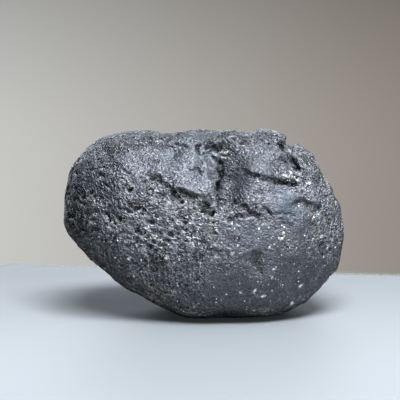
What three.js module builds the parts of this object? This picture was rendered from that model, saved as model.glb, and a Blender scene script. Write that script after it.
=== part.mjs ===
// Indochinite tektite: one lump of natural black glass, thrown up molten, chilled in flight and then
// etched in wet ground. Millimetres, +Z up. The origin is on the plane that the stone rests on, under
// the middle of its length and of its thickness. The broad front face looks along -Y.

import * as THREE from "three";
import { ImprovedNoise } from "three/addons/math/ImprovedNoise.js";
import { mergeVertices } from "three/addons/utils/BufferGeometryUtils.js";

// The body: a rim, which is the widest outline, and the two faces that swell out from it.
const MIDDLE_HEIGHT = 19.5;
const FRONT_BULGE = 17.5;
const BACK_BULGE = 15.5;
const FULLNESS = 2.3; // 2 makes each face an ellipse in section, and more makes it boxier
const BELLY_DROP = 1.5; // how much lower the fullest point of a face sits than the rim's middle
const REST_HEIGHT = 0; // everything below is worn flat, so the stone stands on a patch there

// The rim as X and Z, from the right-hand end round by the top.
const RIM = [
  [30.4, 17.6],
  [27.8, 25.7],
  [23.2, 34.1],
  [15.8, 39],
  [1, 39],
  [-14, 39],
  [-24, 35.8],
  [-28.6, 28],
  [-29.4, 19.3],
  [-23.9, 12.2],
  [-14.4, 4.3],
  [-4, -0.6],
  [6, -1.2],
  [15.8, 0],
  [20.8, 1.9],
  [25, 5.4],
  [29.3, 11.7],
];

// Lumps all over the skin: how high they stand and how far apart they are.
const LUMPS = [
  { height: 0.6, spacing: 9 },
  { height: 0.4, spacing: 4.5 },
];

const MESH_DETAIL = 19; // 8,000 triangles, about 1.4 mm a side
const MESH_STRETCH = [30, 16.5, 20]; // the ball is drawn out this much first, which keeps them even
const SAME_PLACE = 1e-4; // corners of the ball that are closer than this are one
const RIM_STOPS = 720; // how finely the rim is followed
const LUMP_SHIFT = 10; // parts the two sizes of lump, which would otherwise line up
const TRAIL_STEP = 0.4; // how finely furrows and steps are followed
const TRAIL_TAPER = 0.18; // the share of a trail over which each end fades out
const STEP_EDGE = 0.8; // half the width of a step's steep face
const FLAT_PRESS = 0.9; // the share of a bulge that a flat takes off
const FLAT_SOFTNESS = 0.3; // how far past its plane a flat starts to bite in full

const middle = new THREE.Vector3(0, 0, MIDDLE_HEIGHT);
const noise = new ImprovedNoise();

function polar([x, z]) {
  return { angle: Math.atan2(z - MIDDLE_HEIGHT, x), radius: Math.hypot(x, z - MIDDLE_HEIGHT) };
}

const rimLine = new THREE.CatmullRomCurve3(
  RIM.map(([x, z]) => new THREE.Vector3(x, 0, z)),
  true,
  "centripetal",
);
const rimStops = rimLine
  .getSpacedPoints(RIM_STOPS)
  .map((stop) => polar([stop.x, stop.z]))
  .sort((a, b) => a.angle - b.angle);

function rimRadius(angle) {
  const found = rimStops.findIndex((stop) => stop.angle >= angle);
  const next = rimStops[Math.max(found, 0)];
  const last = rimStops.at(found <= 0 ? -1 : found - 1);
  const gap = THREE.MathUtils.euclideanModulo(next.angle - last.angle, 2 * Math.PI);
  const past = THREE.MathUtils.euclideanModulo(angle - last.angle, 2 * Math.PI);
  return THREE.MathUtils.lerp(last.radius, next.radius, gap ? past / gap : 0);
}

function bulge(y) {
  return y < 0 ? FRONT_BULGE : BACK_BULGE;
}

// The point of the smooth body that lies in a direction from the middle.
function bodyPoint(direction) {
  const across = Math.hypot(direction.x, direction.z) / rimRadius(Math.atan2(direction.z, direction.x));
  const deep = Math.abs(direction.y) / bulge(direction.y);
  const reach = (across ** FULLNESS + deep ** FULLNESS) ** (-1 / FULLNESS);
  const point = direction.clone().multiplyScalar(reach).add(middle);
  point.z -= BELLY_DROP * (point.y / bulge(point.y)) ** 2;
  return point;
}

// The point of the smooth body nearest to a place given by hand.
function onBody([x, y, z]) {
  const level = z + BELLY_DROP * (y / bulge(y)) ** 2;
  return bodyPoint(new THREE.Vector3(x, y, level).sub(middle));
}

function outward(point) {
  const away = point.clone().sub(middle);
  const [length, , height] = MESH_STRETCH;
  const thickness = bulge(away.y);
  return new THREE.Vector3(away.x / length ** 2, away.y / thickness ** 2, away.z / height ** 2).normalize();
}

// Each form below gives a function of a point: how far the skin stands out there, less than 0 for in.

// An oval hollow, or a boss where its depth is less than 0. It is stretched along its lean.
function hollow(at, radius, depth, stretch = 1, lean = [1, 0, 0]) {
  const centre = onBody(at);
  const long = new THREE.Vector3(...lean).projectOnPlane(outward(centre)).normalize();
  return (point) => {
    const away = point.clone().sub(centre);
    const lengthways = away.dot(long);
    away.addScaledVector(long, lengthways / stretch - lengthways);
    const share = Math.min(away.length() / radius, 1);
    return -depth * (1 - share ** 2) ** 2;
  };
}

// A flat: skin that stands past a plane is pressed back most of the way to it.
function flat(at, facing, depth) {
  const way = new THREE.Vector3(...facing).normalize();
  const level = onBody(at).dot(way) - depth;
  return (point) => {
    const past = Math.max(point.dot(way) - level, 0);
    return -FLAT_PRESS * past ** 2 / (past + FLAT_SOFTNESS);
  };
}

function follow(places) {
  const line = new THREE.CatmullRomCurve3(places.map(onBody), false, "centripetal");
  return line.getSpacedPoints(Math.ceil(line.getLength() / TRAIL_STEP));
}

function nearest(stops, point) {
  let best = 0;
  stops.forEach((stop, i) => {
    if (point.distanceToSquared(stop) < point.distanceToSquared(stops[best])) best = i;
  });
  const share = best / (stops.length - 1);
  const fade = THREE.MathUtils.smoothstep(Math.min(share, 1 - share), 0, TRAIL_TAPER);
  return { best, fade, gap: point.distanceTo(stops[best]) };
}

// A rounded furrow along a line of places.
function furrow(places, halfWidth, depth) {
  const stops = follow(places);
  return (point) => {
    const { fade, gap } = nearest(stops, point);
    const share = Math.min(gap / halfWidth, 1);
    return -depth * fade * (1 - share ** 2) ** 2;
  };
}

// A step along a line of places. The skin drops on the low side and comes back to the body over its reach.
function step(places, low, drop, reach) {
  const stops = follow(places);
  return (point) => {
    const { best, fade, gap } = nearest(stops, point);
    const along = stops[Math.min(best + 1, stops.length - 1)].clone().sub(stops[Math.max(best - 1, 0)]);
    const across = new THREE.Vector3(...low).projectOnVector(along.normalize());
    across.subVectors(new THREE.Vector3(...low), across).normalize();
    const sideways = point.clone().sub(stops[best]).dot(across);
    const below = THREE.MathUtils.smoothstep(sideways, -STEP_EDGE, STEP_EDGE);
    const share = Math.min(gap / reach, 1);
    return -drop * fade * below * (1 - share ** 2) ** 2;
  };
}

// The front: a sloping flat above, a scarp down the middle, a hollow to its right under a creased lip,
// and lesser ledges.
const front = [
  flat([-4, -12.5, 33.4], [-0.03, -0.72, 0.69], 1.4),
  step([[0, -8, 37.4], [1.4, -11.7, 34.2], [3.1, -13.8, 31.4], [3.2, -15.4, 28.6], [2.6, -16.1, 26.6],
    [3.9, -16.9, 22.4]], [1, 0, 0], 1.7, 7),
  hollow([5.2, -14.6, 29.5], 4.5, 0.9, 1.5, [0, 0, 1]),
  step([[4, -12.6, 32.6], [8, -13.7, 31.5], [12, -14.1, 29.6], [14.4, -13.6, 29.2], [18, -12.6, 27.4]],
    [0, 0, -1], 0.9, 5),
  hollow([14.8, -13.6, 28.4], 2.2, 0.6, 1.4),
  furrow([[5, -16.4, 26.4], [7.9, -16.5, 25.3], [10, -16.4, 23.9], [12, -16, 22.6], [14.5, -15.3, 22.2]],
    1.6, 0.5),
  step([[-12.6, -14.2, 30], [-10.4, -13.9, 31], [-8.2, -15, 29.2], [-5.1, -16, 27.5], [-1.3, -16.7, 25.9],
    [1.4, -16.7, 25.4]], [0, 0, -1], 0.7, 4),
  step([[18, -13.2, 25.2], [20.5, -11.9, 26.2], [22.6, -10.9, 24.8], [24.4, -9.6, 23.7], [26.6, -8.2, 22]],
    [0, 0, -1], 0.8, 3.5),
  furrow([[9.6, -16.9, 15.8], [10.8, -16.5, 13.5], [11.8, -15.8, 10.8]], 2, 0.6),
  hollow([4.7, -17.4, 18.6], 2.9, 0.4),
  hollow([7.5, -10.4, 35.4], 4, 0.5, 1.6),
];

// Etched pits that are wide enough to feel with a fingertip.
const pits = [
  [[0.2, -17, 23.4], 2.2, 1],
  [[-4.5, -17.1, 23.4], 1.8, 0.6],
  [[-5.7, -16.4, 26], 1.9, 0.7],
  [[-14.8, -15, 28.2], 2, 0.7],
  [[-13.2, -15.9, 24.6], 2, 0.6],
  [[-17.4, -15, 22.3], 1.9, 0.6],
  [[-11, -12.2, 33], 1.8, 0.5],
  [[-5.8, -10.1, 35.8], 2, 0.6],
  [[-1.4, -13.6, 31.8], 1.6, 0.5],
  [[7, -16.9, 22.2], 2, 0.8],
  [[-18.5, -8.7, 35.2], 2.2, 0.5],
  [[-19, -14.2, 16.6], 2, 0.5],
  [[-7.4, -17.3, 19.2], 2.2, 0.5],
  [[26, -9.6, 14.6], 2, 0.7],
  [[27.4, -6, 10.9], 1.8, 0.6],
].map(([at, radius, depth]) => hollow(at, radius, depth));

// The top edge and the two ends: a cleft behind the right shoulder, saddles, and knobs low on the right.
const edges = [
  furrow([[18.6, 8, 34.6], [18.4, 0, 36.6], [17.4, -7, 35.4], [18.9, -9.4, 33], [21.4, -9.2, 30.4]],
    2.1, 2.3),
  furrow([[13.8, -5.6, 37.9], [16.4, -8.3, 35.3]], 1.5, 0.9),
  furrow([[-7.4, -4, 38.6], [-6, 2, 38.8], [-3, 9, 36.6]], 3.4, 1.1),
  furrow([[8.4, -6, 38.2], [9.6, 2, 38.8], [12, 8, 36.6]], 2.2, 1.1),
  hollow([26, -2, 7.2], 2.4, 1.5),
  hollow([28, -2.4, 9.9], 2.5, -0.8),
  hollow([22.6, -1, 33.6], 2.6, -0.6),
  hollow([-29, 3, 22.5], 5.5, 0.4, 1.3, [0, 0, 1]),
  hollow([28.5, 6, 21], 5, 0.9, 1.4, [0, 0, 1]),
  hollow([-10, 3, 38.6], 6, 0.7, 1.6),
];

// The back: three shallow thumb-shaped hollows, a ledge and a long gouge.
const back = [
  hollow([-14.5, 13, 25], 6.5, 1.5, 1.3, [0.6, 0, 1]),
  hollow([2, 15, 19], 7, 1.7, 1.4, [1, 0, -0.3]),
  hollow([17, 11.5, 27], 5.5, 1.2),
  step([[4, 13, 33], [9, 13.8, 30], [15, 12.8, 25], [21, 10.5, 19]], [1, 0, -0.7], 0.9, 5),
  furrow([[-23, 8.5, 15.5], [-13, 13, 12], [-3, 14, 9.5], [7, 12.6, 6.5]], 2.4, 1),
  hollow([-4, 12.5, 32.5], 3.4, 0.9, 1.5),
  hollow([-21, 9.5, 31], 3, 0.8),
  hollow([13, 13, 12], 3.2, 0.8, 1.3),
  hollow([24, 7, 12], 2.8, 0.7),
  hollow([-8, 13.5, 17.5], 2.2, 0.7),
];

// The underside, round the patch that it stands on.
const underside = [
  hollow([-12, -3, 2], 4.5, 0.9, 1.4),
  hollow([19, 5, 1.5], 4, 0.7),
  furrow([[-6, 9, 3], [4, 9.5, 2], [14, 8, 2.5]], 2.2, 0.7),
];

const relief = [...front, ...pits, ...edges, ...back, ...underside];

function lumpiness({ x, y, z }) {
  return LUMPS.reduce((sum, { height, spacing }) => {
    return sum + height * noise.noise(x / spacing + LUMP_SHIFT * spacing, y / spacing, z / spacing);
  }, 0);
}

// A ball of even triangles, drawn out to the body.
const ball = new THREE.IcosahedronGeometry(1, MESH_DETAIL);
ball.deleteAttribute("normal");
ball.deleteAttribute("uv");
const stone = mergeVertices(ball, SAME_PLACE);
const position = stone.getAttribute("position");
const stretch = new THREE.Vector3(...MESH_STRETCH);
const point = new THREE.Vector3();
for (let i = 0; i < position.count; i++) {
  point.fromBufferAttribute(position, i).multiply(stretch);
  position.setXYZ(i, ...bodyPoint(point.normalize()));
}

stone.computeVertexNormals();
const normal = stone.getAttribute("normal");
const out = new THREE.Vector3();
for (let i = 0; i < position.count; i++) {
  point.fromBufferAttribute(position, i);
  out.fromBufferAttribute(normal, i);
  const rise = relief.reduce((sum, form) => sum + form(point), lumpiness(point));
  point.addScaledVector(out, rise);
  position.setXYZ(i, point.x, point.y, Math.max(point.z, REST_HEIGHT));
}
stone.deleteAttribute("normal");

stone.computeBoundingBox();
const centre = stone.boundingBox.getCenter(new THREE.Vector3());
stone.translate(-centre.x, -centre.y, 0);

const glass = new THREE.MeshStandardMaterial({ color: 0x17181b, roughness: 0.45, metalness: 0 });
const tektite = new THREE.Mesh(stone, glass);
tektite.name = "tektite";

const part = new THREE.Group();
part.add(tektite);
export default part;
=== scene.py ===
# One indochinite tektite on a pale table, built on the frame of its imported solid.

import bmesh
import bpy
import numpy as np
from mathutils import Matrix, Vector, noise
from mathutils.bvhtree import BVHTree


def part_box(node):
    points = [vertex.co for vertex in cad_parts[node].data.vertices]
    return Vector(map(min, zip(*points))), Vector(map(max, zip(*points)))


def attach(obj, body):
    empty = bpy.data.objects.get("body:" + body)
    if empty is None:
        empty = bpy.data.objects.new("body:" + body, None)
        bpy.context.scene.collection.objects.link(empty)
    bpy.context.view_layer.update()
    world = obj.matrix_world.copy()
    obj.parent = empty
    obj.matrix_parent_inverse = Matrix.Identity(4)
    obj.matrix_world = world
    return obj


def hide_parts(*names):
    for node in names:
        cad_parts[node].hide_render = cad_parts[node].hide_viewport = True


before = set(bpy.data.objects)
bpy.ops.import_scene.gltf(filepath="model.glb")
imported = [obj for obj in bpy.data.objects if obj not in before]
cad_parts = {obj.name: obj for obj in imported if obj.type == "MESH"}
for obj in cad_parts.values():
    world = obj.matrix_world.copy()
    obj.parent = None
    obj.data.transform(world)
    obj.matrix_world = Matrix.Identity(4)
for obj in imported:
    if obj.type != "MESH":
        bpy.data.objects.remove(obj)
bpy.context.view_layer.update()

# ---- The tektite ---------------------------------------------------------------------------------
# One lump of natural black glass, splashed molten, chilled in flight and etched in wet ground. The
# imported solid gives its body. A finer copy of it takes the creases, ledges and pits that stand out,
# and then the etching all over. The finest grain is in its material.

MM = 0.001
PER_MM = 1 / MM
SUBDIVISIONS = 2
SAME_CORNER = 0.01 * MM  # corners nearer to each other than this are one
RIGHT, UP, DOWN = (1, 0, 0), (0, 0, 1), (0, 0, -1)
noise.seed_set(5)

stone_low, stone_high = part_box("tektite")
foot = Vector(((stone_low.x + stone_high.x) / 2, (stone_low.y + stone_high.y) / 2, stone_low.z))


def merged_copy(source, name):
    """The same surface with its loose triangles joined at their corners."""
    form = bmesh.new()
    form.from_mesh(source.data)
    bmesh.ops.remove_doubles(form, verts=form.verts, dist=SAME_CORNER)
    corners = [corner.co.copy() for corner in form.verts]
    faces = [[corner.index for corner in face.verts] for face in form.faces]
    form.free()
    joined = bpy.data.meshes.new(name)
    joined.from_pydata(corners, [], faces)
    return joined


def settle(piece):
    """Replaces a piece's mesh by what its modifiers make of it."""
    graph = bpy.context.evaluated_depsgraph_get()
    made = bpy.data.meshes.new_from_object(piece.evaluated_get(graph))
    piece.modifiers.clear()
    piece.data = made


body = merged_copy(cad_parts["tektite"], "tektite")
stone = bpy.data.objects.new("black_glass_tektite", body)
bpy.context.scene.collection.objects.link(stone)
finer = stone.modifiers.new("finer skin", "SUBSURF")
finer.levels = finer.render_levels = SUBDIVISIONS
settle(stone)


def read_skin():
    """The stone's points and outward directions, in millimetres from the middle of its foot."""
    count = len(stone.data.vertices)
    points = np.empty(count * 3, np.float32)
    stone.data.vertices.foreach_get("co", points)
    outward = np.empty(count * 3, np.float32)
    stone.data.vertex_normals.foreach_get("vector", outward)
    return (points.reshape(-1, 3) - np.array(foot)) / MM, outward.reshape(-1, 3)


def write_skin(points):
    """Puts the stone's points back, with nothing below the surface that it stands on."""
    points[:, 2] = np.maximum(points[:, 2], 0)
    stone.data.vertices.foreach_set("co", (points * MM + np.array(foot)).astype(np.float32).ravel())
    stone.data.update()


# The stone is looked at squarely from the front and from a little above.
SIGHT_RISE = np.radians(8)
SIGHT_LINE = np.array([0, -np.cos(SIGHT_RISE), np.sin(SIGHT_RISE)])
SIGHT_UP = np.array([0, np.sin(SIGHT_RISE), np.cos(SIGHT_RISE)])

skin, outward = read_skin()
faces = [tuple(face.vertices) for face in stone.data.polygons]
unmarked = BVHTree.FromPolygons(skin.tolist(), faces)  # the skin before any mark, to find places on
OUTSIDE = 100  # farther from the foot than any point of the stone


def on_front(across, up):
    """The place on the front face so far right of the middle and above the foot."""
    place = unmarked.ray_cast(Vector((across, -OUTSIDE, up)), Vector((0, 1, 0)))[0]
    return np.array(place)


def along_front(*places):
    """Places on the front face, each so far right of the middle and above the foot."""
    return [on_front(across, up) for across, up in places]


def on_top(across, back):
    """The place on the top so far right of the middle and behind it."""
    place = unmarked.ray_cast(Vector((across, back, OUTSIDE)), Vector(DOWN))[0]
    return np.array(place)


def wander(points, size, spacing):
    """A slow random drift of each point, which keeps edges and outlines from being ruled."""
    return np.array([noise.noise_vector(Vector(point) / spacing) for point in points]) * size


# Marks are measured from points that stray along the skin but never off it.
straying = wander(skin, 0.7, 3.1) + wander(skin + 50, 0.35, 1.1) + wander(skin + 120, 0.22, 0.55)
straying -= np.sum(straying * outward, axis=1, keepdims=True) * outward
skin_strayed = skin + straying


def smooth_step(value, start, end):
    """A soft rise from 0 at the start to 1 at the end."""
    share = np.clip((value - start) / (end - start), 0, 1)
    return share * share * (3 - 2 * share)


STOP_SPACING = 0.25
FADE_SHARE = 0.15  # how much of its length a mark takes to fade in at each end


def trail(places):
    """A smooth line through places, with a stop about every quarter of a millimetre."""
    knots = np.vstack([2 * places[0] - places[1], *places, 2 * places[-1] - places[-2]])
    stops = []
    for before, start, end, after in zip(knots, knots[1:], knots[2:], knots[3:]):
        for share in np.arange(0, 1, STOP_SPACING / np.linalg.norm(end - start)):
            stops.append(
                0.5
                * (
                    2 * start
                    + (end - before) * share
                    + (2 * before - 5 * start + 4 * end - after) * share**2
                    + (3 * start - before - 3 * end + after) * share**3
                )
            )
    stops.append(knots[-2])
    return np.array([unmarked.find_nearest(Vector(stop))[0] for stop in stops])


def nearby(places, reach):
    """The points within reach of a trail: their nearest stop, its heading, the gap and the fade."""
    stops = trail(places)
    low, high = stops.min(0) - reach, stops.max(0) + reach
    inside = np.all((skin_strayed > low) & (skin_strayed < high), axis=1)
    chosen = np.flatnonzero(inside)
    gaps = np.linalg.norm(skin_strayed[chosen, None] - stops[None], axis=2)
    best = gaps.argmin(1)
    gap = gaps.min(1)
    close = gap < reach
    along = np.gradient(stops, axis=0)
    along /= np.linalg.norm(along, axis=1, keepdims=True)
    share = best / (len(stops) - 1)
    fade = smooth_step(np.minimum(share, 1 - share), 0, FADE_SHARE)
    return chosen[close], stops[best[close]], along[best[close]], gap[close], fade[close]


EDGE_ON = 0.25  # the outline is where the skin faces the viewer less than this


def on_outline(across, up):
    """The place on the stone's outline, as it is seen from a little above its front."""
    edge_on = np.flatnonzero(np.abs(outward @ SIGHT_LINE) < EDGE_ON)
    seen = np.stack([skin[edge_on, 0] - across, skin[edge_on] @ SIGHT_UP - up])
    return skin[edge_on[np.hypot(*seen).argmin()]]


# What the marks do to each point: how far it rises, how much painted shade it gets where it is
# sheltered, and its dust and painted highlights.
rise = np.zeros(len(skin))
painted_mark_shade = np.zeros(len(skin))
dust_and_highlights = np.zeros(len(skin))


def come_and_go(places, amount, spacing, least, most):
    """How strongly a mark is cut at each place: real ones break up along their length."""
    cut = [0.95 + amount * noise.noise(Vector(place) / spacing) for place in places]
    return np.clip(cut, least, most)


# The most painted shade that a deep groove or pit gets.
GROOVE_DARKEST, PIT_DARKEST = 0.7, 0.8  # as dark and sheltered as a deep mark gets


def groove(places, half_width, depth):
    """A narrow broken valley along a line of places, with painted shade where it is deep."""
    chosen, stop, _, gap, fade = nearby(places, half_width)
    section = (1 - (gap / half_width) ** 2) ** 1.5
    cut = come_and_go(stop, amount=0.75, spacing=0.9, least=0.15, most=1.4)
    valley = cut * fade * section
    rise[chosen] -= depth * valley
    painted_mark_shade[chosen] = np.maximum(painted_mark_shade[chosen], valley * min(depth, GROOVE_DARKEST))


def front_groove(half_width, depth, *places):
    """A groove along places on the front face."""
    groove(along_front(*places), half_width, depth)


def ledge(places, low, fall, reach, edge, lip, ragged=0.7):
    """A broken edge: the skin falls away on its low side and comes back over its reach."""
    chosen, stop, along, gap, fade = nearby(places, reach)
    toward = np.array(low, float) - (along @ np.array(low, float))[:, None] * along
    toward /= np.linalg.norm(toward, axis=1, keepdims=True)
    sideways = np.einsum("ij,ij->i", skin_strayed[chosen] - stop, toward)
    sideways += np.array([0.5 * noise.noise(Vector(place) / 0.8) for place in skin[chosen]])
    back = (1 - (gap / reach) ** 2) ** 2
    cut = come_and_go(skin[chosen] + 40, amount=ragged, spacing=1.3, least=0.2, most=1.5)
    fade = fade * cut
    rise[chosen] -= fall * fade * smooth_step(sideways, -edge, edge) * back
    rise[chosen] += lip * fade * np.exp(-(((sideways + 1.4 * edge) / (1.6 * edge)) ** 2)) * back


PIT_STRETCH = np.array((1, 1, 0.8))  # pits are a little wider than they are high
# The pale rim of a pit is partly wear and partly a painted highlight.
RIM_WEAR_AND_HIGHLIGHT = 0.22
RIM_FROM_MIDDLE, RIM_WIDTH = 1.15, 0.2  # in widths of the pit


def pit(place, radius, depth):
    """A steep-walled etched hollow with painted shade inside and a pale rim, partly wear and partly a
    painted highlight.
    """
    away = np.linalg.norm((skin_strayed - place) / PIT_STRETCH, axis=1) / radius
    bowl = (1 - np.minimum(away, 1) ** 2.5) ** 1.5
    rim = RIM_WEAR_AND_HIGHLIGHT * np.exp(-(((away - RIM_FROM_MIDDLE) / RIM_WIDTH) ** 2))
    dust_and_highlights[:] = np.maximum(dust_and_highlights, rim)
    rise[:] -= depth * bowl
    painted_mark_shade[:] = np.maximum(painted_mark_shade, bowl * min(depth, PIT_DARKEST))


def swell(place, radius, amount):
    """A soft rise of the skin, or a fall where its amount is less than 0."""
    share = np.minimum(np.linalg.norm(skin_strayed - place, axis=1) / radius, 1)
    rise[:] += amount * (1 - share**2) ** 2


def pale_line(places, half_width, amount):
    """A pale line along places: earth in some, and a painted highlight along a lit edge in others."""
    chosen, _, _, gap, fade = nearby(places, half_width)
    section = 1 - (gap / half_width) ** 2
    dust_and_highlights[chosen] = np.maximum(dust_and_highlights[chosen], amount * fade * section)


def front_pale_line(half_width, amount, *places):
    """A pale line along places on the front face."""
    pale_line(along_front(*places), half_width, amount)


def grain(place, size):
    """One pale grain stuck to the skin."""
    away = np.linalg.norm(skin_strayed - place, axis=1)
    dust_and_highlights[:] = np.maximum(dust_and_highlights, np.clip(1.25 - away / size, 0, 1))


# The lobes and nicks along the outline: where each is, how wide it is, and how far it stands out
# or, where that is less than 0, falls back.
for across, up, radius, amount in [
    (-30.2, 24.2, 4, 0.3), (-29.4, 18.3, 2.5, -0.35), (-27.2, 14.1, 2, 0.35),
    (-22.7, 10.4, 5, -0.5), (-23.2, 10.5, 1.1, -0.3), (-24.3, 11.5, 1.2, 0.2),
    (-17.6, 6.1, 4, -0.35), (-13.5, 3.5, 3, -0.25), (21.5, 2.2, 2, 0.4), (24.1, 5.2, 0.9, -0.5),
    (25, 6.3, 1.2, 0.4), (25.8, 7.7, 1.3, -1.2), (27.4, 9.6, 2, 0.5), (29, 11.8, 2.5, 0.3),
    (28.7, 23.2, 2.5, 0.3), (27.4, 26.4, 3, 0.4), (20.4, 36, 1.4, 0.5), (18, 35.3, 1.2, -1.1),
    (17.3, 37.6, 1.2, 0.6), (15.9, 38.7, 1.5, 0.3), (12.8, 39.1, 2, -0.2), (8.9, 38.5, 2, -0.2),
    (5.6, 38.9, 2, -0.2), (-4.3, 38.7, 2.5, -0.35), (-10.4, 39, 2, 0.15),
    (-20.2, 37.7, 2.5, -0.3),
]:
    swell(on_outline(across, up), radius, amount)

# The scarp down the middle of the front, with the skin fallen away on its right.
scarp = along_front(
    (0.4, 37.4), (0.2, 36), (1.2, 35.2), (2.2, 34.1), (2.6, 33.2), (2.9, 32.3), (3, 31.3),
    (3.1, 30.3), (2.8, 29.4), (2.9, 28.4), (3, 27.2), (2.8, 26), (3.1, 24.5), (3.7, 23.2),
)
ledge(scarp, low=RIGHT, fall=1.15, reach=9, edge=0.25, lip=0.2, ragged=0.05)
front_groove(
    0.66, 0.85,
    (2.5, 34.8), (2.9, 33.8), (3.2, 32.8), (3.3, 31.8), (3.4, 30.8), (3.3, 29.6),
)
front_groove(0.49, 0.59, (3.3, 29.4), (3.7, 28.4), (3.3, 27.2), (3.1, 26.2))
front_groove(0.41, 0.68, (2.9, 26.6), (3, 25.2), (3.3, 24.3), (3.9, 22.7))

# The crease under the lip that runs right from the scarp, deepest at its right-hand end.
crease = along_front(
    (6.6, 31.9), (7.6, 31.8), (8.8, 31.5), (9.8, 31.3), (10.8, 31), (11.8, 30.8), (12.8, 30.5),
    (14.3, 30), (15.5, 29.7), (16.6, 29.5), (17.6, 29.1), (18.7, 28.8), (19.6, 28.3),
)
ledge(crease, low=DOWN, fall=0.45, reach=2.4, edge=0.2, lip=0.2)
groove(crease, 0.35, 0.51)
front_groove(
    0.45, 0.77,
    (14.6, 30), (15.5, 29.7), (16.6, 29.5), (17.6, 29.1), (18.7, 28.8), (19.8, 28.2),
)
front_groove(0.35, 0.34, (13, 31), (14.3, 30.5), (15.4, 29.9))
front_groove(0.41, 0.51, (13.8, 29), (14.9, 29.3), (16, 29.4))
front_groove(0.3, 0.25, (4.8, 31.6), (6.4, 31.9), (8, 32.5))
front_groove(0.35, 0.26, (15.5, 28.5), (16.1, 27.8), (16.7, 27.3), (17.9, 26.6))
# Painted highlights: the bright lip above the crease and the bright edge below it.
front_pale_line(0.32, 0.4, (15.3, 31), (16.4, 30.7), (17.2, 30.4), (18.5, 29.9), (19.4, 29.6))
front_pale_line(0.3, 0.25, (8, 30.9), (10.2, 30.3), (11.6, 29.8), (14, 28.8))

# The cleft from the notch in the shoulder down to the right, and the short splits near it.
groove([on_top(18.4, 4), on_top(18.2, -1), on_front(17.6, 34.8)], 0.74, 0.85)
front_groove(
    0.45, 0.68,
    (14.5, 37), (15.8, 36.6), (16.5, 35.5), (17.1, 34.7), (17.7, 34.1), (18.3, 33.4), (18.9, 32.2),
    (19.5, 31.6), (20.3, 30.9),
)
front_groove(0.66, 0.42, (15.4, 36.9), (16.4, 35.8), (17.1, 34.7))
front_groove(0.37, 0.42, (10.8, 38), (12.1, 37.4), (13.2, 36.6))
front_groove(0.34, 0.34, (14, 33.3), (15.2, 33.8), (16.6, 33.4), (17.9, 32.6))
# A painted highlight on the edge of the notch.
pale_line([on_front(17.9, 35.1), on_top(17.6, -3), on_top(17.4, 0)], 0.35, 0.35)

# The crescent ledge near the right-hand end.
crescent = along_front(
    (17.8, 25.2), (18.8, 25.7), (19.5, 25.9), (20.5, 25.9), (21.4, 25.4), (22.2, 24.7),
    (23.3, 23.6),
)
ledge(crescent, low=DOWN, fall=0.45, reach=2, edge=0.2, lip=0.2)
groove(crescent, 0.3, 0.3)
front_groove(0.3, 0.3, (20, 24.9), (21.4, 24.5), (22.4, 23.6))

# The lower edge of the smooth face on the left, undercut by a row of dark hollows.
brow = along_front(
    (-12.2, 29.8), (-11, 30.3), (-10.6, 30.8), (-10, 31.1), (-9.1, 30.9), (-8.7, 30.4),
    (-7.9, 29.8), (-7.3, 29.2), (-7.1, 28.4), (-6.7, 27.8), (-5.9, 28.1), (-4.7, 28.3),
    (-3.7, 27.7), (-2.5, 27.4), (-1.3, 26.9), (-0.1, 26.3),
)
ledge(brow, low=DOWN, fall=0.5, reach=3, edge=0.2, lip=0.15)
groove(brow, 0.34, 0.42)
front_groove(0.41, 0.59, (-7.1, 27.5), (-6.4, 27.3), (-5.6, 27.6))
front_groove(0.37, 0.51, (-5, 28), (-4.2, 27.6), (-3.5, 27.1))
front_groove(0.49, 0.68, (-3.3, 26.8), (-2.3, 26.4), (-1.5, 26.6))
front_groove(0.41, 0.59, (-0.9, 26.6), (-0.2, 26), (0.4, 25.4))
front_groove(0.41, 0.51, (-7.2, 27.2), (-5.7, 26.2), (-4.3, 25.4))
front_groove(0.41, 0.42, (-11.1, 29.8), (-10.1, 30.5), (-9.2, 30.2))

# Short splits in the smooth face above it.
front_groove(0.41, 0.59, (-1.4, 37.3), (-1.6, 35.9), (-0.6, 34.8))
front_groove(0.34, 0.4, (-6.9, 37.1), (-4.8, 36.7), (-3.2, 36))
front_groove(0.34, 0.42, (-9.4, 36.5), (-6.5, 36.2))
front_groove(0.32, 0.45, (-11.7, 33.8), (-10.5, 33.5), (-9.2, 33.8))
front_groove(0.34, 0.4, (-3, 31.4), (-1.7, 32), (-0.5, 31.2))
front_groove(0.41, 0.59, (0.9, 32), (1.4, 31.2), (2, 30))
front_groove(0.49, 0.42, (-1.1, 34.8), (-0.8, 32.9))

# The seam at the head of the scarp, with tan earth caught in it.
front_groove(0.41, 0.51, (0.2, 37.6), (1.4, 36.6), (2.2, 35.8), (3.4, 35.3), (4.8, 34.9))
front_groove(0.35, 0.34, (-0.2, 35), (1.8, 34.9))
front_groove(0.35, 0.34, (4.9, 35.5), (6.7, 35.5))
front_pale_line(0.22, 0.25, (1, 35.1), (2.2, 34.8), (3.4, 34.8), (4.9, 34.6))
front_pale_line(0.35, 0.55, (3, 35.6), (4.4, 35.5))

# The zigzag of hollows below the crease.
front_groove(0.37, 0.51, (5.2, 26.2), (5.9, 26.5), (6.9, 26.4))
front_groove(0.45, 0.59, (6.8, 26), (8.1, 25.3), (9.1, 24.2), (10.2, 23.6), (11.4, 22.8))
front_groove(0.34, 0.42, (11.4, 27.8), (12, 26.3), (11.4, 25))
front_groove(0.41, 0.59, (11.8, 25.2), (12.6, 24.4), (13.2, 23.8), (14, 22.4))
front_groove(0.41, 0.51, (4.4, 21.9), (5.7, 22.6), (6.9, 23.1), (8.1, 23.2))
bank = along_front((4.4, 21.5), (5.7, 22.2), (6.9, 22.6), (8.1, 22.7))
ledge(bank, low=UP, fall=0.3, reach=1.5, edge=0.2, lip=0.25)

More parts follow.
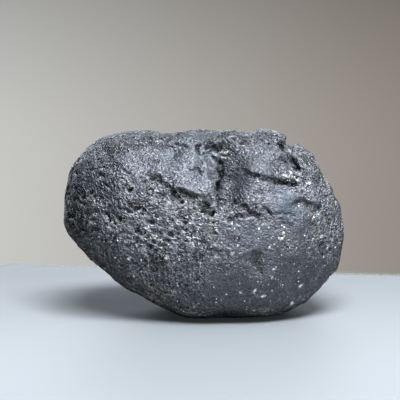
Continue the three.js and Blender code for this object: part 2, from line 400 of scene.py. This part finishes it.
# Etched pits that stand out from the rest: how far right and up each is, and its width and depth.
for across, up, radius, depth in [
    (-15.2, 28.4, 0.8, 0.79), (-13.6, 24.8, 0.7, 0.7), (-10.8, 28.7, 0.45, 0.44),
    (-10.7, 27.4, 0.45, 0.53), (-10.4, 26.2, 0.5, 0.53), (-18.5, 29.6, 0.45, 0.44),
    (-16.8, 29.7, 0.4, 0.35), (-17.5, 22.4, 0.6, 0.62), (-18.5, 21.7, 0.5, 0.53),
    (-18.9, 20.6, 0.5, 0.53), (-9.6, 23, 0.5, 0.53), (-7.1, 22.5, 0.5, 0.44),
    (-4.1, 23.6, 0.5, 0.53), (-0.1, 23.8, 0.8, 0.7), (1.2, 23.6, 0.7, 0.7),
    (1.7, 22.2, 0.6, 0.62), (-10.7, 21.7, 0.9, 0.53), (-10.3, 19.7, 0.9, 0.53),
    (-8.9, 19.5, 0.7, 0.44), (-7.1, 19.8, 0.7, 0.57), (-5.4, 20, 0.6, 0.53),
    (-9.2, 18.7, 0.6, 0.44), (-8.1, 18.5, 0.6, 0.53), (-10.3, 17.9, 0.7, 0.57),
    (-11.6, 17.3, 0.5, 0.53), (-14, 17.5, 0.5, 0.53), (-3.5, 18, 0.6, 0.53),
    (9.8, 38.2, 0.5, 0.44), (5.8, 38, 0.7, 0.7), (7.5, 37.2, 0.7, 0.62), (19.9, 27.5, 0.5, 0.44),
    (-24.9, 26.1, 0.7, 0.53), (-22, 34, 0.6, 0.44), (-21, 34.8, 0.5, 0.44),
    (-16.6, 36.9, 0.7, 0.44), (24.4, 14.3, 0.8, 0.53), (26.2, 17.8, 0.7, 0.62),
    (27.8, 16.3, 0.6, 0.62), (27.4, 19.3, 0.6, 0.44), (26, 20.7, 0.6, 0.44),
    (25.2, 12.4, 0.5, 0.35), (27, 22.8, 0.5, 0.44), (-13, 31.8, 0.5, 0.35), (-4.5, 22, 0.6, 0.44),
    (-23.6, 26.9, 0.9, 0.44), (-18.2, 37.3, 0.5, 0.53), (-19.4, 34.4, 0.9, 0.44),
    (-23.2, 31.8, 0.6, 0.44), (-5.3, 26.3, 0.45, 0.44), (-4.2, 25.6, 0.5, 0.44),
    (-3, 26, 0.4, 0.44), (-1.9, 25.6, 0.4, 0.44), (-0.6, 25.2, 0.4, 0.35),
    (0.9, 27.2, 0.45, 0.44), (3.2, 24, 0.5, 0.53), (3.9, 22.6, 0.5, 0.53),
    (-6.3, 25.3, 0.4, 0.44), (-2.6, 24.4, 0.5, 0.44), (-5.6, 24.6, 0.4, 0.35),
    (-8.3, 26.6, 0.5, 0.44), (-9.3, 25.1, 0.45, 0.44), (-11.9, 26.3, 0.4, 0.35),
    (-12.6, 23.2, 0.5, 0.44), (-8.6, 21.3, 0.5, 0.44), (-6, 21.2, 0.5, 0.44),
    (-2.9, 21.2, 0.4, 0.44), (-12, 19.9, 0.5, 0.44), (-13.3, 21.2, 0.4, 0.44),
]:
    pit(on_front(across, up), radius, depth)

# Single pale grains: how far right and up each is, and its size.
for across, up, size in [
    (-2.9, 18.6, 0.32), (-1.9, 19, 0.25), (-2.1, 17.8, 0.35), (-7.7, 15.1, 0.4),
    (-15.5, 14.3, 0.35), (5.3, 16, 0.35), (15.8, 19.3, 0.26), (15.8, 18.3, 0.3), (13, 16.9, 0.26),
    (13.7, 10.2, 0.36), (25.5, 15.6, 0.4), (10.3, 7.5, 0.35), (12.2, 6, 0.4), (18.3, 3.5, 0.5),
    (19.9, 8, 0.4), (13.7, 12.3, 0.3), (6.8, 7.3, 0.35), (23.7, 18.3, 0.3), (25.9, 17.5, 0.32),
    (22.2, 22.6, 0.25), (-0.3, 28.1, 0.2), (17.2, 32.3, 0.3), (17.7, 31.3, 0.4),
    (18.5, 30.3, 0.35), (19.3, 29.5, 0.3),
]:
    grain(on_front(across, up), size)

# The faint ring on the belly, its rim raised, and the smudged groove below it.
ring = along_front(
    (1.9, 18.4), (2.5, 17), (3.5, 16.7), (4.7, 16.7), (5.7, 17), (6.3, 17.6), (6.9, 18.2),
    (6.5, 19.2), (5.5, 20.2), (4.5, 20.1),
)
groove(ring, 0.4, -0.15)
front_groove(0.3, 0.34, (5.7, 17.5), (6.3, 18.3), (6.4, 19.3))
pale_line(ring[:6], 0.22, 0.2)
front_groove(0.74, 0.38, (9.8, 15.6), (10.4, 14.5), (10.8, 13.2), (11, 12), (11.3, 10.4))
front_groove(0.9, 0.25, (8.8, 15.5), (10.2, 15.6), (11.4, 15.4))

# Flow wrinkles that fan out on the right, where the glass was still soft.
for wrinkle in [
    ((12.4, 24), (13.4, 23.6), (15.2, 23.3), (17.3, 22.6), (19.3, 21.9)),
    ((14.4, 23.7), (16.5, 23.2), (18.8, 22.8)),
    ((13.8, 22.9), (15.6, 21.5), (17.5, 20)),
    ((14.8, 22), (16.9, 21.1), (18.9, 20.3)),
    ((13, 26.8), (14.8, 26.2), (17.2, 25.4), (19, 24.2)),
    ((12.4, 27.8), (14.6, 27.2), (17, 26.6)),
]:
    front_groove(0.38, 0.2, *wrinkle)

# Faint flow lines that slant down over the left of the front.
for line in [
    ((-12.9, 26.4), (-10.9, 25.6), (-9, 24.5)),
    ((-20.8, 24.9), (-18.7, 23.6), (-16.4, 21.5)),
    ((-17, 27.1), (-14.6, 25.6), (-11.7, 23.9)),
]:
    front_groove(0.37, 0.2, *line)

# How smooth each part of the skin is: 1 on the satin patches and 0 where it was etched rough. A
# patch is its middle, its half width and half height, and how smooth it is.
SMOOTH_PATCHES = [
    (-11, 33.8, 7, 3.2, 0.85),
    (-4, 34.3, 8, 4.8, 1),
    (-1.5, 29.5, 5, 3.8, 0.95),
    (8.5, 33.6, 8, 4, 0.85),
    (7, 29, 5, 3.6, 0.75),
    (17.5, 25, 5.5, 3.6, 1),
    (14, 27, 3.5, 3, 0.9),
    (18, 21, 5.5, 4, 0.8),
    (9, 17.5, 8, 6.5, 0.75),
    (16, 11, 11, 8, 0.85),
    (7, 7, 11, 8, 0.8),
]
# How pale the skin's bloom is there, in the same measures. An amount less than 0 makes the skin
# darker: these are painted shade on the left end, along the top, low down and in the shadow just
# right of the scarp. The strong pale patch on the right-hand satin is a painted sheen.
BLOOM_AND_PAINTED_LIGHT_PATCHES = [
    (17, 26, 7, 4, 0.6),
    (17, 21, 8, 4, 0.15),
    (5, 18, 9, 4, 0.42),
    (-10, 20, 11, 5, 0.35),
    (4.4, 30.3, 1.9, 4.5, -0.7),
    (7.2, 30.8, 2, 3, 0.3),
    (-27.5, 22, 4.5, 10, -0.38),
    (3, 3, 22, 8, -0.15),
    (-2, 39, 26, 3, -0.4),
    (-21, 33, 6, 5, -0.15),
    (-20, 12, 8, 8, -0.1),
    (-16, 34.5, 5, 3, -0.18),
    (20, 8, 8, 6, 0.15),
    (-19.4, 34.6, 1.8, 2.4, -0.4),
]
USUAL_BLOOM = 0.65
# Painted shade on the left end, where the skin turns away from the front.
PAINTED_SHADE_AT_LEFT_EDGE = 0.3
BACK_PATCH_SIZE = 11  # the back is smooth and rough in random patches of about this size

smoothness = np.zeros(len(skin))
bloom_and_painted_light = np.full(len(skin), USUAL_BLOOM)
drifting = skin + wander(skin, 1.6, 4.5) + wander(skin + 90, 0.8, 1.6)
facing = smooth_step(-outward[:, 1], -0.1, 0.3)
facing_left = smooth_step(skin[:, 0], 12, -6)


def out_of_patch(across, up, half_width, half_height):
    """How far each point is from a patch's middle, counting its edge as 1."""
    sideways = (drifting[:, 0] - across) / half_width
    upward = (drifting[:, 2] - up) / half_height
    return np.hypot(sideways, upward)


for *patch, amount in SMOOTH_PATCHES:
    satin = amount * facing * smooth_step(out_of_patch(*patch), 1.2, 0.45)
    smoothness = np.maximum(smoothness, satin)
for *patch, amount in BLOOM_AND_PAINTED_LIGHT_PATCHES:
    bloom_and_painted_light += amount * facing * smooth_step(out_of_patch(*patch), 1.6, 0.1)
# Painted shade: the skin at the left that turns away from the front is made darker, standing in for
# the shade on that side.
turned_away_shade = smooth_step(outward @ SIGHT_LINE, 0.45, 0.05) * facing_left
bloom_and_painted_light -= PAINTED_SHADE_AT_LEFT_EDGE * turned_away_shade
behind = np.array([noise.noise(Vector(point) / BACK_PATCH_SIZE) for point in skin + 30])
smoothness = np.maximum(smoothness, smooth_step(behind, 0.0, 0.25) * (1 - facing))

# Meniscus grooves strewn over the etched skin on every side: short curved cuts, with a painted
# highlight below each.
MENISCUS_GROOVES = 420
TOO_SMOOTH = 0.35
TOO_LEVEL = 0.85
chance = np.random.default_rng(7)
for middle in chance.integers(len(skin), size=MENISCUS_GROOVES):
    reach = chance.uniform(0.6, 1.5)
    half_width = chance.uniform(0.24, 0.4)
    depth = chance.uniform(0.2, 0.5)
    lean = chance.normal(0, 0.6, 3)
    if smoothness[middle] > TOO_SMOOTH or abs(outward[middle, 2]) > TOO_LEVEL:
        continue
    sideways = np.cross(outward[middle], np.array(UP) + lean)
    sideways /= np.linalg.norm(sideways)
    upward = np.cross(sideways, outward[middle])
    cut = [
        skin[middle] + reach * (share * sideways - 0.5 * share**2 * upward)
        for share in (-1, -0.4, 0.4, 1)
    ]
    groove(cut, half_width, depth)
    # The pale line below each cut is a painted highlight.
    pale_line([place - 0.6 * upward for place in cut], half_width=0.3, amount=0.2)

write_skin(skin + outward * rise[:, None])


def keep_on_skin(name, values):
    """Keeps a number for each point of the skin, for the pits and the finish to read."""
    layer = stone.data.attributes.new(name, "FLOAT", "POINT")
    layer.data.foreach_set("value", values.astype(np.float32))


patchy = np.array([
    noise.noise(Vector(point) / 2.4) + 0.4 * noise.noise(Vector(point)) for point in skin + 70
])
etched = (1 - smoothness) * (0.45 + 0.65 * smooth_step(patchy, -0.3, 0.3))
keep_on_skin("etched", np.maximum(etched, np.clip(painted_mark_shade, 0, 0.8)))
# Painted shade for the finish: how sheltered each point is in the marks.
keep_on_skin("sunk_shade", painted_mark_shade)
keep_on_skin("bloom_and_painted_light", np.clip(bloom_and_painted_light, 0, 1.2))
keep_on_skin("dust_and_highlights", dust_and_highlights)


class Nodes:
    """Adds nodes to a tree, with links or plain values as their inputs."""

    def __init__(self, tree):
        self.tree = tree

    def add(self, kind, inputs=None, **settings):
        node = self.tree.nodes.new(kind)
        for name, value in settings.items():
            setattr(node, name, value)
        for socket, value in (inputs or {}).items():
            if isinstance(value, bpy.types.NodeSocket):
                self.tree.links.new(value, node.inputs[socket])
            else:
                node.inputs[socket].default_value = value
        return node

    def math(self, operation, *values, clamp=False):
        settings = {"operation": operation, "use_clamp": clamp}
        return self.add("ShaderNodeMath", dict(enumerate(values)), **settings).outputs[0]

    def times(self, first, second):
        return self.math("MULTIPLY", first, second)

    def times_plus(self, value, factor, extra, clamp=False):
        return self.math("MULTIPLY_ADD", value, factor, extra, clamp=clamp)

    def bowl(self, out, steepness):
        """How deep a hollow is: 1 in its middle and 0 at its rim, where out is 1."""
        return self.math("SUBTRACT", 1.0, self.math("POWER", out, steepness), clamp=True)

    def scaled(self, vector, amount):
        node = self.add("ShaderNodeVectorMath", {0: vector, "Scale": amount}, operation="SCALE")
        return node.outputs[0]

    def moved(self, vector, way):
        node = self.add("ShaderNodeVectorMath", {0: vector, 1: way}, operation="ADD")
        return node.outputs[0]

    def clouds(self, vector, scale, detail, **more):
        """Cloudy noise, as a number and as a way to stray in."""
        inputs = {"Vector": vector, "Scale": scale, "Detail": detail, **more}
        made = self.add("ShaderNodeTexNoise", inputs).outputs
        return made["Fac"], made["Color"]

    def cells(self, vector, scale):
        """Cells strewn at random: how far the middle of each is, and its own random colour."""
        made = self.add("ShaderNodeTexVoronoi", {"Vector": vector, "Scale": scale}).outputs
        return made["Distance"], made["Color"]

    def ramp(self, value, start, end, low=0.0, high=1.0):
        inputs = {"Value": value, "From Min": start, "From Max": end, "To Min": low, "To Max": high}
        return self.add("ShaderNodeMapRange", inputs, interpolation_type="SMOOTHSTEP").outputs[0]

    def blend(self, share, first, second, **settings):
        inputs = {0: share, "A": first, "B": second}
        return self.add("ShaderNodeMix", inputs, data_type="RGBA", **settings).outputs["Result"]


def etching_tree():
    """Round pits strewn over a surface, one to a cell and of random width, deeper where etched."""
    tree = bpy.data.node_groups.new("etched pits", "GeometryNodeTree")
    tree.interface.new_socket("Geometry", in_out="INPUT", socket_type="NodeSocketGeometry")
    for name in ("Spacing", "Depth", "Share", "Shift"):
        tree.interface.new_socket(name, in_out="INPUT", socket_type="NodeSocketFloat")
    tree.interface.new_socket("Glass", in_out="INPUT", socket_type="NodeSocketMaterial")
    tree.interface.new_socket("Geometry", in_out="OUTPUT", socket_type="NodeSocketGeometry")
    nodes = Nodes(tree)
    given = nodes.add("NodeGroupInput").outputs

    def kept_number(name):
        reading = nodes.add("GeometryNodeInputNamedAttribute", {"Name": name}, data_type="FLOAT")
        return reading.outputs[0]

    # The pits, and a crumbling of the skin between them.
    place = nodes.add("GeometryNodeInputPosition").outputs[0]
    moved = nodes.moved(place, given["Shift"])
    ground = nodes.scaled(moved, nodes.math("DIVIDE", 1.0, given["Spacing"]))
    _, stray = nodes.clouds(ground, 1.6, 2.0)
    away, colour = nodes.cells(nodes.moved(nodes.scaled(stray, 2.4), ground), 1.0)
    luck = nodes.add("FunctionNodeSeparateColor", {0: colour}).outputs
    radius = nodes.times_plus(luck[0], 0.38, 0.22)
    bowl = nodes.bowl(nodes.math("DIVIDE", away, radius), 2.5)
    chosen = nodes.math("LESS_THAN", luck[1], given["Share"])
    pocket = nodes.times(nodes.times(bowl, chosen), radius)
    crust, _ = nodes.clouds(ground, 1.5, 2.0)
    crumbs = nodes.times(nodes.math("SUBTRACT", crust, 0.45), 0.45)
    hole = nodes.times(nodes.math("ADD", crumbs, pocket), kept_number("etched"))
    sink = nodes.times(hole, nodes.times(given["Depth"], -1.0))

    # Each point sinks along its outward direction, and how far it sank is added to the painted shade
    # kept for the finish.
    deeper = nodes.times_plus(sink, -PER_MM, kept_number("sunk_shade"))
    kept = nodes.add(
        "GeometryNodeStoreNamedAttribute",
        {"Geometry": given["Geometry"], "Name": "sunk_shade", "Value": deeper},
        data_type="FLOAT",
        domain="POINT",
    ).outputs[0]
    shift = nodes.scaled(nodes.add("GeometryNodeInputNormal").outputs[0], sink)
    pitted = nodes.add("GeometryNodeSetPosition", {"Geometry": kept, "Offset": shift}).outputs[0]
    whole = nodes.add("GeometryNodeRealizeInstances", {0: pitted}).outputs[0]
    coated = nodes.add("GeometryNodeSetMaterial", {0: whole, "Material": given["Glass"]}).outputs[0]
    nodes.add("NodeGroupOutput", {0: coated})
    return tree


# The skin's finish: black glass under a pale bloom, satin where it is smooth, finely pitted and
# glinting where it is etched, with earth and pale grains left in it from the ground. Its colour also
# holds painted shade in hollows, pits and fine crack lines, with painted glints in it, painted
# highlights on crests and pale lines, and the painted shade and sheen of the bloom patches.
BARE_GLASS = (0.013, 0.013, 0.014, 1)
BLOOM_ON_SATIN = (0.041, 0.044, 0.051, 1)
BLOOM_ON_ETCHED = (0.136, 0.129, 0.137, 1)
EARTH = (0.115, 0.104, 0.086, 1)
PALE_GRAINS = (0.44, 0.425, 0.39, 1)
SATIN_DRAWN_OUT = (1.7, 1.1, 0.75)
SATIN_LEAN = (0, 0.35, 0)


def bowls(nodes, place, spacing, share):
    """Hollows of random width, in so large a share of the cells."""
    away, colour = nodes.cells(place, 1 / spacing)
    luck = nodes.add("ShaderNodeSeparateColor", {0: colour}).outputs
    radius = nodes.times_plus(luck[0], 0.3, 0.3)
    bowl = nodes.bowl(nodes.math("DIVIDE", away, radius), 2.0)
    return nodes.times(bowl, nodes.math("LESS_THAN", luck[1], share))


def cups(nodes, place, spacing):
    """Shallow hollows side by side, with crests where they meet."""
    away, _ = nodes.cells(place, 1 / spacing)
    return nodes.bowl(nodes.times(away, 1.2), 2.0)


def crack_shade(nodes, place, drawn, etched):
    """Painted shade in fine crack lines that come and go in the etched skin."""
    crackle, _ = nodes.clouds(drawn, 0.75, 1.0)
    crossing = nodes.math("ABSOLUTE", nodes.math("SUBTRACT", crackle, 0.5))
    cracked, _ = nodes.clouds(place, 0.6, 1.0)
    lines = nodes.times(nodes.ramp(crossing, 0.03, 0.008), nodes.ramp(cracked, 0.45, 0.6))
    return nodes.times(lines, nodes.ramp(etched, 0.2, 0.8))


def grit_and_flour(nodes, place, bent, etched, crust, dust_and_highlight_cover):
    """How far pale grains cover the skin: specks and fine flour, more of both low down."""
    height_up = nodes.add("ShaderNodeSeparateXYZ", {0: place}).outputs[2]
    away, colour = nodes.cells(bent, 1.9)
    luck = nodes.add("ShaderNodeSeparateColor", {0: colour}).outputs
    dot = nodes.ramp(away, 0.42, 0.22)
    chosen = nodes.math("LESS_THAN", luck[0], nodes.ramp(height_up, 30.0, 18.0, 0.0, 0.28))
    paleness = nodes.times_plus(nodes.math("POWER", luck[1], 3.0), 0.85, 0.1)
    grit = nodes.times(nodes.times(dot, chosen), paleness)
    low_down = nodes.ramp(height_up, 24.0, 10.0, 0.9, 2.6)
    flour = nodes.times(nodes.ramp(crust, 0.52, 0.72), low_down)
    salt = nodes.times(flour, nodes.times_plus(etched, 0.24, 0.03))
    return nodes.math("MAXIMUM", grit, nodes.math("ADD", salt, dust_and_highlight_cover), clamp=True)


def weathered_glass():
    glass = bpy.data.materials.new("weathered_black_glass")
    glass.use_nodes = True
    nodes = Nodes(glass.node_tree)
    shader = glass.node_tree.nodes["Principled BSDF"]
    etched, sunk_shade, bloom_and_painted_light, dust_and_highlight_cover = [
        nodes.add("ShaderNodeAttribute", attribute_name=name).outputs["Fac"]
        for name in ("etched", "sunk_shade", "bloom_and_painted_light", "dust_and_highlights")
    ]
    place = nodes.scaled(nodes.add("ShaderNodeTexCoord").outputs["Object"], PER_MM)
    _, stray = nodes.clouds(place, 1.7, 2.0)
    bent = nodes.moved(nodes.scaled(stray, 0.7), place)
    drawing = {"Vector": bent, "Scale": SATIN_DRAWN_OUT, "Rotation": SATIN_LEAN}
    drawn = nodes.add("ShaderNodeMapping", drawing, vector_type="TEXTURE").outputs[0]

    # Relief too fine for the mesh: hollows in the etched skin, and a drawn-out grain in the satin.
    wide = bowls(nodes, bent, 0.95, 0.7)
    fine = cups(nodes, bent, 0.52)
    satin = cups(nodes, drawn, 0.4)
    streaks, _ = nodes.clouds(drawn, 2.3, 1.0)
    waves, _ = nodes.clouds(place, 2.4, 1.0)
    rough = nodes.times_plus(etched, 0.9, 0.1)
    holes = nodes.times_plus(fine, 0.33, nodes.times(wide, 0.36))
    rough_height = nodes.times(holes, nodes.times(rough, -1.0))
    sheen = nodes.times_plus(waves, 0.2, nodes.times(streaks, 0.2))
    sheen = nodes.times_plus(satin, -0.11, sheen)
    height = nodes.times_plus(sheen, nodes.times_plus(etched, 0.4, 0.6), rough_height)
    bump = nodes.add("ShaderNodeBump", {"Height": height, "Distance": MM, "Strength": 1.0})

    # Painted shade in the hollows, which also keeps the bloom off them: sunk pits, lightened in
    # places by painted glints, the bottoms of the fine hollows, and fine crack lines.
    _, chip_colour = nodes.cells(drawn, 3.2)
    luck = nodes.add("ShaderNodeSeparateColor", {0: chip_colour}).outputs
    # Painted glints: in some chips the painted shade is lifted.
    shade_broken_by_glints = nodes.times_plus(nodes.math("POWER", luck[1], 3.0), -0.6, 1.0)
    sheltered = nodes.times(nodes.math("MULTIPLY", sunk_shade, 1.1, clamp=True), shade_broken_by_glints)
    bottoms = nodes.math("ADD", wide, nodes.math("POWER", fine, 3.0))
    hollow = nodes.times_plus(nodes.times(bottoms, rough), 0.5, sheltered)
    hollow = nodes.times_plus(crack_shade(nodes, place, drawn, etched), 0.6, hollow, clamp=True)

    # The bloom on the rest, uneven and flecked, paler on crests partly from wear and partly as a
    # painted highlight, with earth in it here and there. It also carries the painted shade and sheen
    # of the bloom patches.
    shade, _ = nodes.clouds(place, 0.35, 4.0)
    uneven = nodes.ramp(shade, 0.25, 0.75, 0.82, 1.18)
    fleck = nodes.math("SUBTRACT", nodes.math("POWER", luck[0], 2.0), 0.3)
    flecks = nodes.times_plus(fleck, nodes.times_plus(etched, 1.4, 0.6), 1.0)
    # Paler crests: partly wear and partly a painted highlight.
    crests = nodes.math("POWER", nodes.math("SUBTRACT", 1.0, fine), 2.0)
    flecks = nodes.times(flecks, nodes.times_plus(nodes.times(crests, rough), 0.6, 0.87))
    open_skin = nodes.math("SUBTRACT", 1.0, hollow)
    lit_and_shaded_bloom = nodes.times(nodes.times(bloom_and_painted_light, nodes.times(uneven, flecks)), open_skin)
    earthy, _ = nodes.clouds(place, 0.16, 3.0)
    clean = nodes.blend(etched, BLOOM_ON_SATIN, BLOOM_ON_ETCHED)
    frost = nodes.blend(nodes.ramp(earthy, 0.5, 0.68, 0.0, 0.25), clean, EARTH)
    tone = nodes.blend(lit_and_shaded_bloom, BARE_GLASS, frost, clamp_factor=False)
    crust, _ = nodes.clouds(place, 3.8, 3.0, Roughness=0.7)
    covered = grit_and_flour(nodes, place, bent, etched, crust, dust_and_highlight_cover)
    colour = nodes.blend(covered, tone, PALE_GRAINS)

    # Satin skin is duller than etched skin, whose broken glass glints, and hollows are dullest.
    polish = nodes.ramp(etched, 0.0, 1.0, 0.42, 0.31)
    pepper = nodes.times_plus(nodes.ramp(crust, 0.48, 0.3), 0.3, polish)
    roughness = nodes.times_plus(hollow, 0.35, pepper)
    glass.node_tree.links.new(colour, shader.inputs["Base Color"])
    glass.node_tree.links.new(roughness, shader.inputs["Roughness"])
    glass.node_tree.links.new(bump.outputs[0], shader.inputs["Normal"])
    return glass


# Three sizes of etched pit: how far apart and how deep in millimetres, how large a share of the
# places holds one, and a shift that keeps the three from falling together.
PIT_SIZES = [(2.6, 0.9, 0.12, 0.1), (1.5, 0.65, 0.35, 0.3), (0.95, 0.5, 0.7, 0.7)]

glass = weathered_glass()
etching = etching_tree()
sockets = {
    item.name: item.identifier
    for item in etching.interface.items_tree
    if item.in_out == "INPUT"
}
for spacing, depth, share, shift in PIT_SIZES:
    layer = stone.modifiers.new("pits", "NODES")
    layer.node_group = etching
    layer[sockets["Spacing"]] = spacing * MM
    layer[sockets["Depth"]] = depth * MM
    layer[sockets["Share"]] = share
    layer[sockets["Shift"]] = shift
    layer[sockets["Glass"]] = glass
settle(stone)
write_skin(read_skin()[0])
stone.data.shade_smooth()

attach(stone, "root")
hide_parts("tektite")

# ---- The table -----------------------------------------------------------------------------------
# A plain pale table top. It is painted darker toward its back, as painted shade where the light falls
# off, and it glows a little by itself, as painted light that lightens the shadows on it. Its back
# edge runs slantwise behind the stone and is soft.

NEAR_TINT = (0.062, 0.066, 0.0682, 1)
FAR_SHADED_TINT = (0.034, 0.036, 0.0372, 1)
PAINT_SHARE = 0.15  # how much of its tint the paint shows by lamplight
# The glow is painted light: the table gives out light though it is no lamp.
PAINTED_LIGHT_GLOW = 0.78  # how much of it the paint gives out by itself
TABLE_REACH = 1.5
EDGE_SLANT = 0.139
EDGE_GONE, EDGE_WHOLE = 0.049, 0.043  # where the table has ended and where it is still whole

board = bpy.data.meshes.new("table")
near_left, near_right = (-TABLE_REACH, -TABLE_REACH, 0), (TABLE_REACH, -TABLE_REACH, 0)
far_right, far_left = (TABLE_REACH, -0.15, 0), (-TABLE_REACH, 0.267, 0)
board.from_pydata([near_left, near_right, far_right, far_left], [], [range(4)])
paint = bpy.data.materials.new("pale_table_paint")
paint.use_nodes = True
coat = Nodes(paint.node_tree)
spot = coat.add("ShaderNodeTexCoord").outputs["Object"]
across, away, _ = coat.add("ShaderNodeSeparateXYZ", {0: spot}).outputs
# Painted shade: the tint darkens toward the back, where the light falls off.
falloff_tint = coat.blend(coat.ramp(away, -0.05, 0.05), NEAR_TINT, FAR_SHADED_TINT)
to_edge = coat.times_plus(across, EDGE_SLANT, away)
surface = paint.node_tree.nodes["Principled BSDF"]
surface.inputs["Roughness"].default_value = 0.6
surface.inputs["Emission Strength"].default_value = PAINTED_LIGHT_GLOW
paint.node_tree.links.new(coat.scaled(falloff_tint, PAINT_SHARE), surface.inputs["Base Color"])
paint.node_tree.links.new(falloff_tint, surface.inputs["Emission Color"])
paint.node_tree.links.new(coat.ramp(to_edge, EDGE_GONE, EDGE_WHOLE), surface.inputs["Alpha"])
board.materials.append(paint)
table = bpy.data.objects.new("table", board)
bpy.context.scene.collection.objects.link(table)

# ---- The light -----------------------------------------------------------------------------------
# A broad soft light over the stone with a brighter patch in it, a window in front to the right, a
# far window behind, and a dim room, brighter on the left. One more lamp lights only the table.

STONE_LOW_DOWN = (0, 0, 0.02)
TABLE_MIDDLE = (0, 0, 0)


def soft_window(name, place, aim, size, power, colour, only_on=None):
    pane = bpy.data.lights.new(name, "AREA")
    pane.shape = "RECTANGLE"
    pane.size, pane.size_y = size
    pane.energy = power
    pane.color = colour
    hung = bpy.data.objects.new(name, pane)
    hung.location = place
    hung.visible_camera = False
    if only_on:
        lit = bpy.data.collections.new(name)
        lit.objects.link(only_on)
        hung.light_linking.receiver_collection = lit
    hung.rotation_euler = (Vector(aim) - Vector(place)).to_track_quat("-Z", "Y").to_euler()
    bpy.context.scene.collection.objects.link(hung)


soft_window("skylight", (0.14, -0.10, 0.74), STONE_LOW_DOWN,
            size=(0.6, 0.45), power=8.0, colour=(0.79, 0.89, 1.0))
soft_window("window", (0.3, -0.75, 0.35), STONE_LOW_DOWN,
            size=(1.4, 0.8), power=12.5, colour=(0.84, 0.92, 1.0))
soft_window("table lamp", (0.1, -0.34, 0.69), TABLE_MIDDLE,
            size=(0.5, 0.2), power=110.0, colour=(0.9, 0.95, 1.0), only_on=table)
soft_window("far window", (-0.2, 0.8, 0.3), STONE_LOW_DOWN,
            size=(1.4, 0.8), power=5.0, colour=(0.84, 0.92, 1.0))
soft_window("bright patch", (0.14, -0.18, 0.72), STONE_LOW_DOWN,
            size=(0.2, 0.2), power=7.5, colour=(0.95, 0.97, 1.0))

LEFT_WALL = (1.0, 1.0, 0.985, 1)
RIGHT_WALL = (1.0, 0.94, 0.87, 1)

room = bpy.data.worlds.new("room")
room.use_nodes = True
walls = Nodes(room.node_tree)
way = walls.add("ShaderNodeTexCoord").outputs["Generated"]
rightward, _, upward = walls.add("ShaderNodeSeparateXYZ", {0: way}).outputs
light_side = walls.ramp(rightward, -0.5, 0.5, 0.47, 0.17)
low_side = walls.ramp(upward, 0.25, -0.12, 0.3, 1.0)
wall = walls.blend(walls.ramp(rightward, -0.2, 0.2), LEFT_WALL, RIGHT_WALL)
backdrop = room.node_tree.nodes["Background"]
room.node_tree.links.new(wall, backdrop.inputs["Color"])
room.node_tree.links.new(walls.times(light_side, low_side), backdrop.inputs["Strength"])
bpy.context.scene.world = room

# ---- The camera ----------------------------------------------------------------------------------
# A little above the stone and square to its front, framed with room round it.

CAMERA_DISTANCE = 0.26
FRAME_WIDTH = 0.0854
AIM_FROM_FOOT = Vector((-0.00095, 0.0011, 0.0241))

aim = foot + AIM_FROM_FOOT
camera = bpy.data.cameras.new("camera")
camera.sensor_width = 36
camera.lens = camera.sensor_width * CAMERA_DISTANCE / FRAME_WIDTH
camera.clip_start = 0.01
viewer = bpy.data.objects.new("camera", camera)
viewer.location = aim + Vector(SIGHT_LINE) * CAMERA_DISTANCE
viewer.rotation_euler = (np.pi / 2 - SIGHT_RISE, 0, 0)
bpy.context.scene.collection.objects.link(viewer)
bpy.context.scene.camera = viewer
bpy.context.scene.view_settings.view_transform = "Standard"
bpy.context.scene.view_settings.look = "Very High Contrast"
